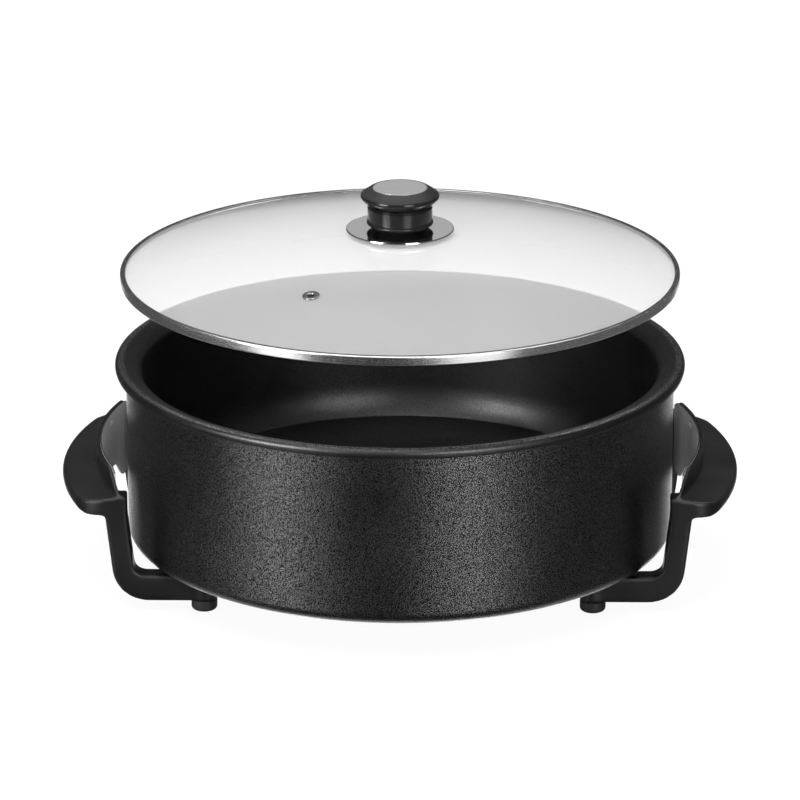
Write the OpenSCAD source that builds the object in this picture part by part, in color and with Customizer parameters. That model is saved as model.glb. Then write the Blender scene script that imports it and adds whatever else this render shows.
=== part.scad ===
// Round electric pan: a hammered steel casing round a coated cast pan,
// two moulded handles that are also its legs, and a loose domed glass lid.
// Millimetres, +Z up, -Y to the front. The origin is on the table under the pan's axis.

/* [Pan] */
// Diameter over the rolled rim
rim_d = 420; // [390:5:450]
// Height of the rim's crest above the underside of the base
pan_h = 137; // [120:1:155]
// Wall thickness of the cast pan
pan_t = 3; // [2:0.5:4]
// Height of the cooking floor above the underside of the base
floor_h = 28; // [27:0.5:34]
// Radius inside the corner between floor and wall
corner_r = 4; // [2:0.5:10]
// Outward lean of the pan's wall, degrees
wall_lean = 3.4; // [1:0.2:6]
// Width of the rim, from the inside of the wall to the outside of the skirt
flange_w = 20; // [17:0.5:24]
// Upward slope of the rim, degrees
flange_slope = 20; // [10:1:25]
// Depth of the rim's turned-down skirt
skirt_h = 7; // [6:0.5:14]
// Inside radius of the rim's two bends
bend_inner_r = 1.2; // [0.8:0.2:2]

/* [Casing and base] */
// Step from the rim's outside in to the casing
casing_inset = 8; // [6:0.5:10]
// Sheet thickness of the casing
casing_t = 1.2; // [0.8:0.1:2]
// Outside radius of the casing's bottom corner
casing_corner_r = 10; // [4:0.5:12]
// Width of the casing's inward bottom lip
casing_lip_w = 18; // [14:1:22]
// Height of the base's underside above the table
stand_h = 29; // [26:0.5:36]
// Sheet thickness of the base plate
base_t = 1.2; // [0.8:0.1:2]
// Step from the casing's outside in to the base plate's edge
base_inset = 9.5; // [8:0.5:14]
// Radius of the base plate's raised middle
base_dish_r = 130; // [110:5:140]
// Height of the base plate's raised middle
base_dish_h = 3; // [2:0.5:4]
// Gap between a seat and the piece that rests on it
seat_gap = 0.2; // [0.1:0.05:0.3]
// Radial clearance of a screw or sleeve in its hole
hole_gap = 0.1; // [0.05:0.05:0.2]

/* [Heating] */
// Radius of the heat spreader under the floor
spreader_r = 150; // [145:1:165]
// Thickness of the heat spreader
spreader_t = 4; // [3:0.5:5]
// Radius of the heating loop
loop_r = 120; // [105:1:125]
// Diameter of the heating tube
tube_d = 8; // [7:0.5:8.5]
// Radius of the bends where the heating tube turns to its ends
tube_bend_r = 14; // [12:1:18]
// Diameter of the centre stud
stud_d = 8; // [6:0.5:10]
// Thickness of the heat reflector
reflector_t = 0.8; // [0.5:0.1:1]
// Radius of the heat reflector
reflector_r = 140; // [130:1:145]
// Height of the heat reflector's turned-up edge
reflector_rim = 2; // [1.5:0.25:2.5]

/* [Handles] */
// Gap between the casing and the inside of the grip
grip_gap = 20; // [18:1:28]
// Width of the grip
grip_w = 28; // [24:1:36]
// Height of the grip at its inner side
grip_h = 14.5; // [13:0.5:18]
// Fall of the grip's top from its inner to its outer side
grip_fall = 4; // [2:0.5:5]
// Radius of the grip's upper outer edge
grip_edge_r = 4; // [2:0.5:4.5]
// Radius of the grip's lower outer edge
grip_low_r = 5.5; // [2:0.5:6]
// Radius of the grip's outer corner at each end, seen from above
grip_corner_r = 22; // [8:1:28]
// Height of the grip's underside above the table
grip_z = 74.5; // [68:0.5:84]
// Wall of the guard that stands behind the grip
guard_t = 3; // [2:0.5:4]
// Height of the guard above the grip
guard_h = 16; // [10:1:22]
// Half length of the guard's level top
guard_level = 72; // [55:1:76]
// Distance of the leg's centre plane from the pan's centre plane
leg_y = 89.5; // [80:0.5:98]
// Depth of the leg from front to back
leg_w = 17; // [14:1:20]
// Thickness of the leg, seen from the front
leg_t = 16; // [13:0.5:18]
// Distance of the leg's inner face inside the casing's radius, at the grip
leg_inset = 4.5; // [3:0.5:7]
// Inward lean of the leg, degrees
leg_lean = 6.5; // [2:0.5:8]
// Height of the arm that runs from the leg to the foot
arm_h = 20; // [15:0.5:22]
// Gap between the arm's top and the base plate
arm_gap = 0.5; // [0.3:0.1:1.5]
// Outside radius of the bend between leg and arm
elbow_r = 26; // [22:1:32]
// Inside radius of the bend between leg and arm
elbow_inner_r = 8; // [5:0.5:10]

/* [Heat shields] */
// Sheet thickness of the shield
shield_t = 1; // [0.6:0.1:1.5]
// Depth of the shield below the grip's underside
shield_drop = 27; // [15:1:32]
// Gap between the shield's ends and the legs
shield_end_gap = 1.5; // [1:0.5:8]
// Radius of the shield's lower corners
shield_corner_r = 10; // [5:1:14]
// Height of the arch in the shield's lower edge
shield_arch = 14; // [4:1:16]
// Length of the slope at each end of that arch
arch_run = 20; // [14:1:30]
// Diameter of a shield rivet's shank
rivet_d = 3; // [2.5:0.5:4]
// Distance of the shield rivets from the pan's centre plane
rivet_y = 42; // [25:1:48]

/* [Feet] */
// Diameter of the foot and of the boss above it
foot_d = 19; // [16:0.5:22]
// Distance of the feet inside the casing's radius, along X
foot_inset = 60; // [50:1:66]
// Radius of the foot's bottom edge
foot_edge_r = 3; // [1.5:0.5:4]
// Diameter of the foot screw
foot_screw_d = 5; // [4:0.5:6]
// Thickness of the foot screw's head
foot_head_h = 3; // [2:0.5:3.5]
// Height of the foot nut
foot_nut_h = 4; // [3:0.5:5]

/* [Inlet] */
// Half width of the inlet's window in the casing
inlet_half_w = 31; // [28:0.5:36]
// Half height of the inlet block
inlet_half_h = 8; // [7:0.25:8.5]
// Wall round the inlet's mouth
inlet_wall = 2; // [1.5:0.25:2.5]
// Thickness of the inlet's back wall
inlet_back = 10; // [8:0.5:12]
// Depth of the inlet's mouth behind the casing
mouth_depth = 24; // [20:0.5:26]
// Width of each screw ear beside the window
ear_w = 15; // [13:0.5:18]
// Thickness of the screw ears
ear_t = 4; // [3:0.5:6]
// Half height of the screw ears
ear_half_h = 5; // [4:0.25:5]
// Half distance between the two terminal pins
pin_half_pitch = 16; // [14:0.5:18]
// Diameter of a terminal pin's free end
pin_d = 4.8; // [4.4:0.2:6]
// Diameter of a terminal pin's shank inside its insulator
pin_shank_d = 4; // [3:0.2:4]
// Free length of a terminal pin
pin_free_l = 18; // [14:0.5:20]
// Outside diameter of a pin's ceramic insulator
insulator_d = 9.6; // [8.6:0.2:11]
// Bore of the temperature probe's sleeve
probe_bore_d = 7.2; // [6:0.2:7.8]
// Wall of the probe's sleeve
probe_wall = 0.7; // [0.5:0.1:1]
// Length of the probe's sleeve
probe_l = 70; // [50:1:80]
// Diameter of the inlet screws
inlet_screw_d = 4; // [3:0.5:4.5]

/* [Lid] */
// Diameter over the lid's band
lid_d = 410.4; // [384:0.4:412]
// Height of the lid's band
band_h = 7; // [6.5:0.25:9]
// Sheet thickness of the lid's band
band_t = 0.8; // [0.6:0.1:1]
// Width of the band's inward lips
band_lip = 3; // [2.5:0.25:5]
// Thickness of the glass
glass_t = 4; // [3:0.25:4.25]
// Rise of the glass from its edge to its top
dome_h = 30; // [26:1:42]
// How far the lid is held above its seat
lid_lift = 60; // [30:1:100]
// Distance of the steam vent from the lid's axis
vent_r = 132; // [100:1:150]
// Direction of the steam vent round the lid, degrees
vent_turn = 242; // [0:1:359]
// Diameter of the steam vent's flange
vent_d = 12.5; // [11:0.25:16]
// Diameter of the steam vent's hole
vent_hole_d = 5; // [4:0.25:6]

/* [Knob] */
// Diameter of the bright plate under the knob
knob_plate_d = 79; // [66:1:88]
// Thickness of the bright plate
knob_plate_t = 2; // [1:0.25:3]
// Largest diameter of the knob
knob_d = 57.6; // [54:0.4:64]
// Diameter of the knob's neck
knob_neck_d = 47.6; // [44:0.4:50]
// Height of the knob
knob_h = 30.8; // [29:0.2:36]
// Height of the knob's neck, up to the groove under its head
neck_h = 16.5; // [14:0.5:18]
// Diameter of the bright inlay in the knob's top
inlay_d = 40; // [36:0.5:42]
// Thickness of the inlay
inlay_t = 1.4; // [1:0.1:2]
// Thickness of each sealing washer on the glass
gasket_t = 1; // [0.8:0.1:1.5]
// Diameter of the knob's screw
knob_screw_d = 5; // [4:0.5:6]
// Depth that the screw reaches into the knob
knob_thread_l = 14; // [10:0.5:18]

/* [Hidden] */
$fn = 96;

// Rim and pan
rim_r = rim_d / 2;
crest_z = stand_h + pan_h;
floor_z = stand_h + floor_h;
floor_under_z = floor_z - pan_t;
bend_r = bend_inner_r + pan_t;
crest_c = [rim_r - bend_r, crest_z - bend_r];
bend_c = crest_c - (flange_w - 2 * bend_r) * [1, tan(flange_slope)];
wall_top = bend_c + bend_r * [-cos(wall_lean), sin(wall_lean)];
corner_z = floor_z + corner_r;
wall_foot_z = corner_z - corner_r * sin(wall_lean);
wall_foot_r = wall_top.x - (wall_top.y - wall_foot_z) * tan(wall_lean);
corner_c = [wall_foot_r - corner_r * cos(wall_lean), corner_z];

// Casing and base
casing_r = rim_r - casing_inset;
casing_in_r = casing_r - casing_t;
casing_z = stand_h + base_t;
rim_under_z = crest_c.y + bend_inner_r / cos(flange_slope)
    - (crest_c.x - casing_in_r) * tan(flange_slope);
casing_top_z = rim_under_z - seat_gap;
base_r = casing_r - base_inset;

// Heating
spreader_z = floor_under_z - spreader_t;
probe_d = probe_bore_d + 2 * probe_wall;
inlet_z = spreader_z - max(probe_d, tube_d) / 2 - seat_gap;
loop_bend_x = pin_half_pitch + tube_bend_r;
loop_bend_y = sqrt(pow(loop_r + tube_bend_r, 2) - pow(loop_bend_x, 2));
loop_open_a = atan2(loop_bend_x, loop_bend_y);
stud_r = stud_d / 2;
stud_collar_d = 2 * stud_d;
stud_collar_h = 2;
reflector_gap = 1;
reflector_z = inlet_z - max(probe_d, tube_d) / 2 - reflector_gap - reflector_rim;
nut_h = 6;
nut_d = 1.9 * stud_d;

// Inlet
mouth_y = casing_r - mouth_depth;
back_y = mouth_y - inlet_back;
insulator_l = inlet_back + 8;
tube_end_y = mouth_y - insulator_l;
tube_sides = 12;
tube_line = concat(
    [[pin_half_pitch, tube_end_y]],
    arc([loop_bend_x, loop_bend_y], tube_bend_r, 180, 270 - loop_open_a, 6),
    inside(arc([0, 0], loop_r, 90 - loop_open_a, loop_open_a - 270, 48)),
    arc([-loop_bend_x, loop_bend_y], tube_bend_r, loop_open_a - 90, 0, 6),
    [[-pin_half_pitch, tube_end_y]]);
ear_out_r = casing_in_r - seat_gap;
ear_screw_a = asin((inlet_half_w + ear_w / 2) / casing_r);
inlet_head_d = 1.9 * inlet_screw_d;
inlet_head_h = 2.2;
contact_w = 5;
contact_t = 0.8;
contact_l = 16;

// Handles
grip_in_r = casing_r + grip_gap;
grip_out_r = grip_in_r + grip_w;
grip_top_z = grip_z + grip_h;
fall_a = atan(grip_fall / grip_w);
end_y = leg_y + leg_w / 2;
inner_y = leg_y - leg_w / 2;
leg_in_x = casing_r - leg_inset;
leg_out_x = leg_in_x + leg_t;
round_y = end_y - grip_corner_r;
round_x = sqrt(pow(grip_out_r - grip_corner_r, 2) - pow(round_y, 2));
round_from_y = round_y * grip_out_r / (grip_out_r - grip_corner_r);
guard_top_z = grip_top_z + guard_h;
guard_foot = 0.6;
arm_top_z = stand_h - arm_gap;
arm_z = arm_top_z - arm_h;
fuse = 0.5;

// Heat shields
shield_out_r = grip_in_r - hole_gap;
shield_in_r = shield_out_r - shield_t;
shield_half = inner_y - shield_end_gap;
shield_z = grip_z - shield_drop;
shield_top_drop = 0.6;
rivet_z = grip_top_z + guard_h / 2;
rivet_a = asin(rivet_y / grip_in_r);
rivet_head_d = 2 * rivet_d;
rivet_head_h = 1.2;
rivet_tip_wall = 1;

// Feet
foot_x = casing_r - foot_inset;
foot_h = arm_z;
foot_recess = foot_head_h + 1.5;
foot_head_d = 1.9 * foot_screw_d;
foot_nut_d = 2 * foot_screw_d;
foot_screw_top = casing_z + foot_nut_h + 1;

// Lid
lid_r = lid_d / 2;
lid_gap = 0.3;
lid_seat_z = crest_z + lid_gap;
band_z = lid_seat_z + lid_lift;
band_edge_r = 1.2;
glass_r = lid_r - band_t - seat_gap;
dome_r = (pow(glass_r, 2) + pow(dome_h, 2)) / (2 * dome_h);
edge_slope = asin(glass_r / dome_r);
glass_edge_z = band_z + band_h - band_t - seat_gap - band_lip * tan(edge_slope);
dome_z = glass_edge_z - (dome_r - dome_h);
apex_z = glass_edge_z + dome_h;
vent_tilt = asin(vent_r / dome_r);
vent_tube_d = vent_hole_d + 2.4;
vent_flange_t = 1;
dome_fn = 360;

// Knob
gasket_d = 30;
under_gasket_d = 24;
under_sag = dome_r - glass_t - sqrt(pow(dome_r - glass_t, 2) - pow(under_gasket_d / 2, 2));
under_gap = 0.05;
under_z = apex_z - glass_t - under_sag - under_gap;
washer_t = 1.2;
plate_z = apex_z + gasket_t;
knob_z = plate_z + knob_plate_t;
knob_screw_head_h = 3;
knob_screw_z = under_z - gasket_t - washer_t;
knob_bore_r = knob_screw_d / 2 + hole_gap;

// Colours of the finishes
black_hammered = [0.10, 0.10, 0.10];
black_coating = [0.16, 0.16, 0.16];
black_moulded = [0.13, 0.13, 0.13];
black_gloss = [0.06, 0.06, 0.06];
bright_steel = [0.72, 0.72, 0.72];
raw_aluminium = [0.62, 0.62, 0.64];
rubber_black = [0.07, 0.07, 0.07];
ceramic_white = [0.88, 0.86, 0.80];
clear_glass = [0.90, 0.94, 0.94, 0.35];
seal_grey = [0.55, 0.55, 0.55];

// Points of an arc about c, from angle a0 to angle a1
function arc(c, r, a0, a1, n = 8) =
    [for (i = [0:n]) c + r * [cos(a0 + (a1 - a0) * i / n), sin(a0 + (a1 - a0) * i / n)]];

function reversed(points) = [for (i = [len(points) - 1:-1:0]) points[i]];

// Points without the first and the last
function inside(points) = [for (i = [1:len(points) - 2]) points[i]];

// Line of the pan's section, s below the cooking face
function pan_line(s) = concat(
    [[0, floor_z - s]],
    arc(corner_c, corner_r + s, -90, -wall_lean),
    arc(bend_c, bend_r - s, 180 - wall_lean, 90 + flange_slope),
    arc(crest_c, bend_r - s, 90 + flange_slope, 0),
    [[rim_r - s, crest_z - skirt_h]]);

// Height of the guard's top edge at distance y along the grip
function guard_edge(y) =
    let (s = max(0, min(1, (abs(y) - guard_level) / (end_y - guard_t - guard_level))))
    grip_top_z + guard_foot + (guard_h - guard_foot) * (1 + cos(180 * s)) / 2;

// Top edge of the guard from -half to half, lowered by drop
function guard_line(half, drop, n = 36) =
    [for (i = [0:n]) let (y = half * (2 * i / n - 1)) [y, guard_edge(y) - drop]];

module ring(outer_r, inner_r, z0, z1) {
    translate([0, 0, z0])
    difference() {
        cylinder(r = outer_r, h = z1 - z0);
        translate([0, 0, -1]) cylinder(r = inner_r, h = z1 - z0 + 2);
    }
}

module rod(r, z0, z1) {
    translate([0, 0, z0]) cylinder(r = r, h = z1 - z0);
}

// A (y, z) outline pushed out along +X, from the pan's side to past the grip
module side_window() {
    translate([leg_in_x / 2, 0, 0])
    rotate([90, 0, 90])
    linear_extrude(grip_out_r) children();
}

// Places its children at the front and rear foot of one side
module at_feet(side) {
    for (end = [-1, 1]) translate([side * foot_x, end * leg_y, 0]) children();
}

// Points +Y out of the casing at the inlet's height, turned round the pan by a
module at_inlet(a = 0) {
    rotate([0, 0, a]) translate([0, 0, inlet_z]) rotate([-90, 0, 0]) children();
}

module casing() {
    corner_c2 = [casing_r - casing_corner_r, casing_z + casing_corner_r];
    color(black_hammered)
    difference() {
        rotate_extrude() polygon(concat(
            [[casing_r - casing_lip_w, casing_z]],
            arc(corner_c2, casing_corner_r, -90, 0),
            [[casing_r, casing_top_z], [casing_in_r, casing_top_z]],
            arc(corner_c2, casing_corner_r - casing_t, 0, -90),
            [[casing_r - casing_lip_w, casing_z + casing_t]]));
        translate([0, casing_r, inlet_z])
        cube([2 * (inlet_half_w + seat_gap), casing_r / 2, 2 * (inlet_half_h + seat_gap)], center = true);
        for (a = [-ear_screw_a, ear_screw_a])
            at_inlet(a) rod(inlet_screw_d / 2 + hole_gap, ear_out_r - ear_t, casing_r + 1);
    }
}

module inner_pan() {
    color(black_coating)
    rotate_extrude() polygon(concat(pan_line(0), reversed(pan_line(pan_t))));
}

module heat_spreader() {
    color(raw_aluminium) rod(spreader_r, spreader_z, floor_under_z);
}

// Heating tube: rings of points swept along its centre line
module heating_element() {
    last = len(tube_line) - 1;
    rings = [for (i = [0:last])
        let (run = tube_line[min(i + 1, last)] - tube_line[max(i - 1, 0)],
            side = [run.y, -run.x] / norm(run))
        for (j = [0:tube_sides - 1])
            let (a = 360 * j / tube_sides)
            [each tube_line[i] + tube_d / 2 * cos(a) * side, inlet_z + tube_d / 2 * sin(a)]];
    walls = [for (i = [0:last - 1], j = [0:tube_sides - 1])
        let (p = i * tube_sides + j,
            q = i * tube_sides + (j + 1) % tube_sides)
        each [[p, q + tube_sides, p + tube_sides], [p, q, q + tube_sides]]];
    near_end = [for (j = [tube_sides - 1:-1:0]) j];
    far_end = [for (j = [0:tube_sides - 1]) last * tube_sides + j];
    color(raw_aluminium) polyhedron(rings, concat(walls, [near_end, far_end]));
}

module heat_reflector() {
    color(bright_steel)
    rotate_extrude() polygon([
        [stud_r + hole_gap, reflector_z], [reflector_r, reflector_z],
        [reflector_r, reflector_z + reflector_rim],
        [reflector_r - reflector_t, reflector_z + reflector_rim],
        [reflector_r - reflector_t, reflector_z + reflector_t],
        [stud_r + hole_gap, reflector_z + reflector_t]]);
}

module base_plate() {
    color(bright_steel)
    difference() {
        rotate_extrude() polygon([
            [stud_r + hole_gap, stand_h + base_dish_h], [base_dish_r, stand_h + base_dish_h],
            [base_dish_r + base_dish_h, stand_h], [base_r, stand_h],
            [base_r, stand_h + base_t], [base_dish_r + base_dish_h, stand_h + base_t],
            [base_dish_r, stand_h + base_dish_h + base_t],
            [stud_r + hole_gap, stand_h + base_dish_h + base_t]]);
        for (side = [-1, 1])
            at_feet(side) rod(foot_screw_d / 2 + hole_gap, stand_h - 1, stand_h + base_t + 1);
    }
}

module centre_stud() {
    color(raw_aluminium) {
        rod(stud_r, stand_h + base_dish_h - nut_h - 1, spreader_z);
        rod(stud_collar_d / 2, reflector_z - stud_collar_h, reflector_z);
    }
}

module base_nut() {
    color(bright_steel)
    difference() {
        translate([0, 0, stand_h + base_dish_h - nut_h]) cylinder(d = nut_d, h = nut_h, $fn = 6);
        rod(stud_r + hole_gap, stand_h + base_dish_h - nut_h - 1, stand_h + base_dish_h + 1);
    }
}

// Front outline of the leg, its bend and the arm to the foot, as (x, z)
module leg_outline() {
    lean = tan(leg_lean);
    elbow_z = arm_z + elbow_r;
    outer_z = elbow_z - elbow_r * sin(leg_lean);
    elbow_c = [leg_out_x - (grip_z - outer_z) * lean - elbow_r * cos(leg_lean), elbow_z];
    inner_bend_z = arm_top_z + elbow_inner_r;
    inner_z = inner_bend_z - elbow_inner_r * sin(leg_lean);
    inner_c = [leg_in_x - (grip_z - inner_z) * lean - elbow_inner_r * cos(leg_lean), inner_bend_z];
    polygon(concat(
        [[leg_in_x, grip_z + fuse], [leg_out_x, grip_z + fuse], [leg_out_x, grip_z]],
        arc(elbow_c, elbow_r, -leg_lean, -90, 10),
        [[foot_x, arm_z], [foot_x, arm_top_z]],
        arc(inner_c, elbow_inner_r, -90, -leg_lean, 6),
        [[leg_in_x, grip_z]]));
}

// Radial section of the grip, as (radius, z): its top falls outwards and its edges are round
module grip_section() {
    edge_x = grip_out_r - grip_edge_r;
    edge_top_z = grip_top_z - (edge_x + grip_edge_r * sin(fall_a) - grip_in_r) * tan(fall_a)
        - grip_edge_r * cos(fall_a);
    low_r = min(grip_low_r, edge_top_z - grip_z - hole_gap);
    polygon(concat(
        [[grip_in_r, grip_z]],
        arc([grip_out_r - low_r, grip_z + low_r], low_r, -90, 0),
        arc([edge_x, edge_top_z], grip_edge_r, 0, 90 - fall_a),
        [[grip_in_r, grip_top_z]]));
}

// Room that the grip fills, seen from above: square ends with round outer corners
module grip_plan() {
    translate([leg_in_x / 2, -end_y, 0]) cube([round_x - leg_in_x / 2, 2 * end_y, guard_top_z]);
    translate([leg_in_x / 2, -round_from_y, 0]) cube([grip_out_r, 2 * round_from_y, guard_top_z]);
    for (end = [-1, 1]) translate([round_x, end * round_y, 0]) rod(grip_corner_r, 0, guard_top_z);
}

// One handle with its guard and two legs, on the +X side
module handle() {
    difference() {
        union() {
            intersection() {
                rotate_extrude() grip_section();
                grip_plan();
            }
            intersection() {
                ring(grip_in_r + guard_t, grip_in_r, grip_z + fuse, guard_top_z + 1);
                side_window() polygon(concat(
                    [[end_y - guard_t, grip_z + fuse]], [[guard_t - end_y, grip_z + fuse]],
                    guard_line(end_y - guard_t, 0)));
            }
            for (end = [0, 1]) mirror([0, end, 0]) {
                intersection() {
                    translate([leg_in_x, inner_y, grip_z]) cube([grip_w, leg_w, grip_h]);
                    rod(grip_in_r + fuse, grip_z - 1, grip_top_z + 1);
                }
                translate([0, end_y, 0]) rotate([90, 0, 0]) linear_extrude(leg_w) leg_outline();
            }
            at_feet(1) rod(foot_d / 2, arm_z, stand_h);
        }
        at_feet(1) rod(foot_screw_d / 2 + hole_gap, arm_z - 1, stand_h + 1);
        for (a = [-rivet_a, rivet_a]) rotate([0, 0, a]) translate([0, 0, rivet_z]) rotate([0, 90, 0])
            rod(rivet_d / 2 + hole_gap, grip_in_r - 2, grip_in_r + guard_t - rivet_tip_wall + hole_gap);
    }
}

module handle_left() {
    color(black_moulded) mirror([1, 0, 0]) handle();
}

module handle_right() {
    color(black_moulded) handle();
}

// Curved sheet between casing and guard, on the +X side
module heat_shield() {
    low_y = shield_half - shield_corner_r;
    low_z = shield_z + shield_corner_r;
    slope = [for (i = [1:8]) [low_y - arch_run * i / 8, shield_z + shield_arch * (1 - cos(22.5 * i)) / 2]];
    difference() {
        intersection() {
            ring(shield_out_r, shield_in_r, shield_z - 1, guard_top_z);
            side_window() polygon(concat(
                reversed(guard_line(shield_half, shield_top_drop)),
                arc([-low_y, low_z], shield_corner_r, 180, 270),
                [for (p = slope) [-p[0], p[1]]], reversed(slope),
                arc([low_y, low_z], shield_corner_r, 270, 360)));
        }
        for (a = [-rivet_a, rivet_a]) rotate([0, 0, a]) translate([0, 0, rivet_z]) rotate([0, 90, 0])
            rod(rivet_d / 2 + hole_gap, shield_in_r - 1, shield_out_r + 1);
    }
}

module heat_shield_left() {
    color(bright_steel) mirror([1, 0, 0]) heat_shield();
}

module heat_shield_right() {
    color(bright_steel) heat_shield();
}

module shield_rivets() {
    head_r = shield_in_r - hole_gap;
    color(bright_steel)
    for (side = [0, 1], a = [-rivet_a, rivet_a])
        mirror([side, 0, 0]) rotate([0, 0, a]) translate([0, 0, rivet_z]) rotate([0, 90, 0]) {
            rod(rivet_d / 2, head_r - fuse, grip_in_r + guard_t - rivet_tip_wall);
            translate([0, 0, head_r - rivet_head_h])
            cylinder(d1 = rivet_d, d2 = rivet_head_d, h = rivet_head_h);
        }
}

// Rubber foot under the handle's boss, hollowed for the head of its screw
module foot() {
    color(rubber_black)
    rotate_extrude() polygon(concat(
        [[foot_head_d / 2 + hole_gap, 0]],
        arc([foot_d / 2 - foot_edge_r, foot_edge_r], foot_edge_r, -90, 0),
        [[foot_d / 2, foot_h], [foot_screw_d / 2 + hole_gap, foot_h],
            [foot_screw_d / 2 + hole_gap, foot_recess], [foot_head_d / 2 + hole_gap, foot_recess]]));
}

module foot_front_left() {
    translate([-foot_x, -leg_y, 0]) foot();
}

module foot_front_right() {
    translate([foot_x, -leg_y, 0]) foot();
}

module foot_rear_left() {
    translate([-foot_x, leg_y, 0]) foot();
}

module foot_rear_right() {
    translate([foot_x, leg_y, 0]) foot();
}

module foot_screws() {
    color(bright_steel)
    for (side = [-1, 1]) at_feet(side) {
        rod(foot_screw_d / 2, foot_recess - fuse, foot_screw_top);
        rod(foot_head_d / 2, foot_recess - foot_head_h, foot_recess);
    }
}

module foot_nuts() {
    color(bright_steel)
    for (side = [-1, 1]) at_feet(side)
        difference() {
            translate([0, 0, casing_z]) cylinder(d = foot_nut_d, h = foot_nut_h, $fn = 6);
            rod(foot_screw_d / 2 + hole_gap, casing_z - 1, casing_z + foot_nut_h + 1);
        }
}

// Recessed inlet block: an open mouth in the casing's rear and two screw ears inside it
module inlet_socket() {
    mouth_w = inlet_half_w - inlet_wall;
    mouth_h = inlet_half_h - inlet_wall;
    ear_half_w = inlet_half_w + ear_w;
    color(black_moulded)
    difference() {
        union() {
            intersection() {
                rod(casing_r, inlet_z - inlet_half_h, inlet_z + inlet_half_h);
                translate([-inlet_half_w, back_y, inlet_z - inlet_half_h])
                cube([2 * inlet_half_w, mouth_depth + inlet_back, 2 * inlet_half_h]);
            }
            intersection() {
                ring(ear_out_r, ear_out_r - ear_t, inlet_z - ear_half_h, inlet_z + ear_half_h);
                translate([-ear_half_w, back_y, inlet_z - inlet_half_h])
                cube([2 * ear_half_w, mouth_depth + inlet_back, 2 * inlet_half_h]);
            }
        }
        translate([-mouth_w, mouth_y, inlet_z - mouth_h]) cube([2 * mouth_w, mouth_depth + 1, 2 * mouth_h]);
        at_inlet() rod(probe_d / 2 + hole_gap, back_y - 1, mouth_y + 1);
        for (side = [-1, 1]) translate([side * pin_half_pitch, 0, 0])
            at_inlet() rod(insulator_d / 2 + hole_gap, back_y - 1, mouth_y + 1);
        for (a = [-ear_screw_a, ear_screw_a])
            at_inlet(a) rod(inlet_screw_d / 2 + hole_gap, ear_out_r - ear_t - 2, casing_r);
    }
}

module inlet_screws() {
    head_r = casing_r + hole_gap;
    color(bright_steel)
    for (a = [-ear_screw_a, ear_screw_a]) at_inlet(a) {
        rod(inlet_screw_d / 2, ear_out_r - ear_t, head_r + fuse);
        rod(inlet_head_d / 2, head_r, head_r + inlet_head_h);
    }
}

module terminal_pins() {
    color(bright_steel)
    for (side = [-1, 1]) translate([side * pin_half_pitch, 0, 0])
        at_inlet() {
            rod(pin_shank_d / 2, tube_end_y, mouth_y + fuse);
            rod(pin_d / 2, mouth_y, mouth_y + pin_free_l);
        }
}

module terminal_insulators() {
    color(ceramic_white)
    for (side = [-1, 1]) translate([side * pin_half_pitch, 0, 0])
        at_inlet() ring(insulator_d / 2, pin_shank_d / 2 + hole_gap, tube_end_y, mouth_y);
}

// Blind tube for the temperature probe, open at the inlet's mouth
module probe_sleeve() {
    color(raw_aluminium)
    at_inlet()
    difference() {
        rod(probe_d / 2, mouth_y - probe_l, mouth_y);
        rod(probe_bore_d / 2, mouth_y - probe_l + probe_wall, mouth_y + 1);
    }
}

// Flat earth spring on the floor of the inlet's mouth
module earth_contact() {
    contact_x = (pin_half_pitch + probe_bore_d / 2 - pin_d / 2) / 2;
    color(bright_steel)
    translate([contact_x - contact_w / 2, mouth_y, inlet_z - inlet_half_h + inlet_wall])
    cube([contact_w, contact_l, contact_t]);
}

// Points local +Z out of the glass at the steam vent
module at_vent() {
    translate([0, 0, dome_z]) rotate([0, vent_tilt, vent_turn]) translate([0, 0, dome_r]) children();
}

module lid_glass() {
    color(clear_glass)
    difference() {
        intersection() {
            translate([0, 0, dome_z]) sphere(r = dome_r, $fn = dome_fn);
            rod(glass_r, band_z, apex_z + 1);
        }
        translate([0, 0, dome_z]) sphere(r = dome_r - glass_t, $fn = dome_fn);
        rod(knob_bore_r, apex_z - 2 * glass_t, apex_z + 1);
        at_vent() rod(vent_tube_d / 2 + hole_gap, -2 * glass_t, glass_t);
    }
}

// Rolled channel round the edge of the glass
module lid_band() {
    top_z = band_z + band_h;
    lip_r = lid_r - band_t - band_lip;
    inner_r = lid_r - band_t;
    color(bright_steel)
    rotate_extrude() polygon(concat(
        [[lip_r, band_z]],
        arc([lid_r - band_edge_r, band_z + band_edge_r], band_edge_r, -90, 0),
        arc([lid_r - band_edge_r, top_z - band_edge_r], band_edge_r, 0, 90),
        [[lip_r, top_z], [lip_r, top_z - band_t], [inner_r, top_z - band_t],
            [inner_r, band_z + band_t], [lip_r, band_z + band_t]]));
}

module vent_eyelet() {
    color(bright_steel)
    at_vent()
    difference() {
        union() {
            rod(vent_tube_d / 2, -glass_t - vent_flange_t - hole_gap, hole_gap + fuse);
            translate([0, 0, hole_gap])
            cylinder(d1 = vent_d, d2 = vent_d - 1.5 * vent_flange_t, h = vent_flange_t);
        }
        rod(vent_hole_d / 2, -2 * glass_t, glass_t);
    }
}

module vent_ring() {
    color(bright_steel)
    at_vent()
    ring(vent_d / 2, vent_tube_d / 2 + hole_gap, -glass_t - vent_flange_t - hole_gap, -glass_t - hole_gap);
}

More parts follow.
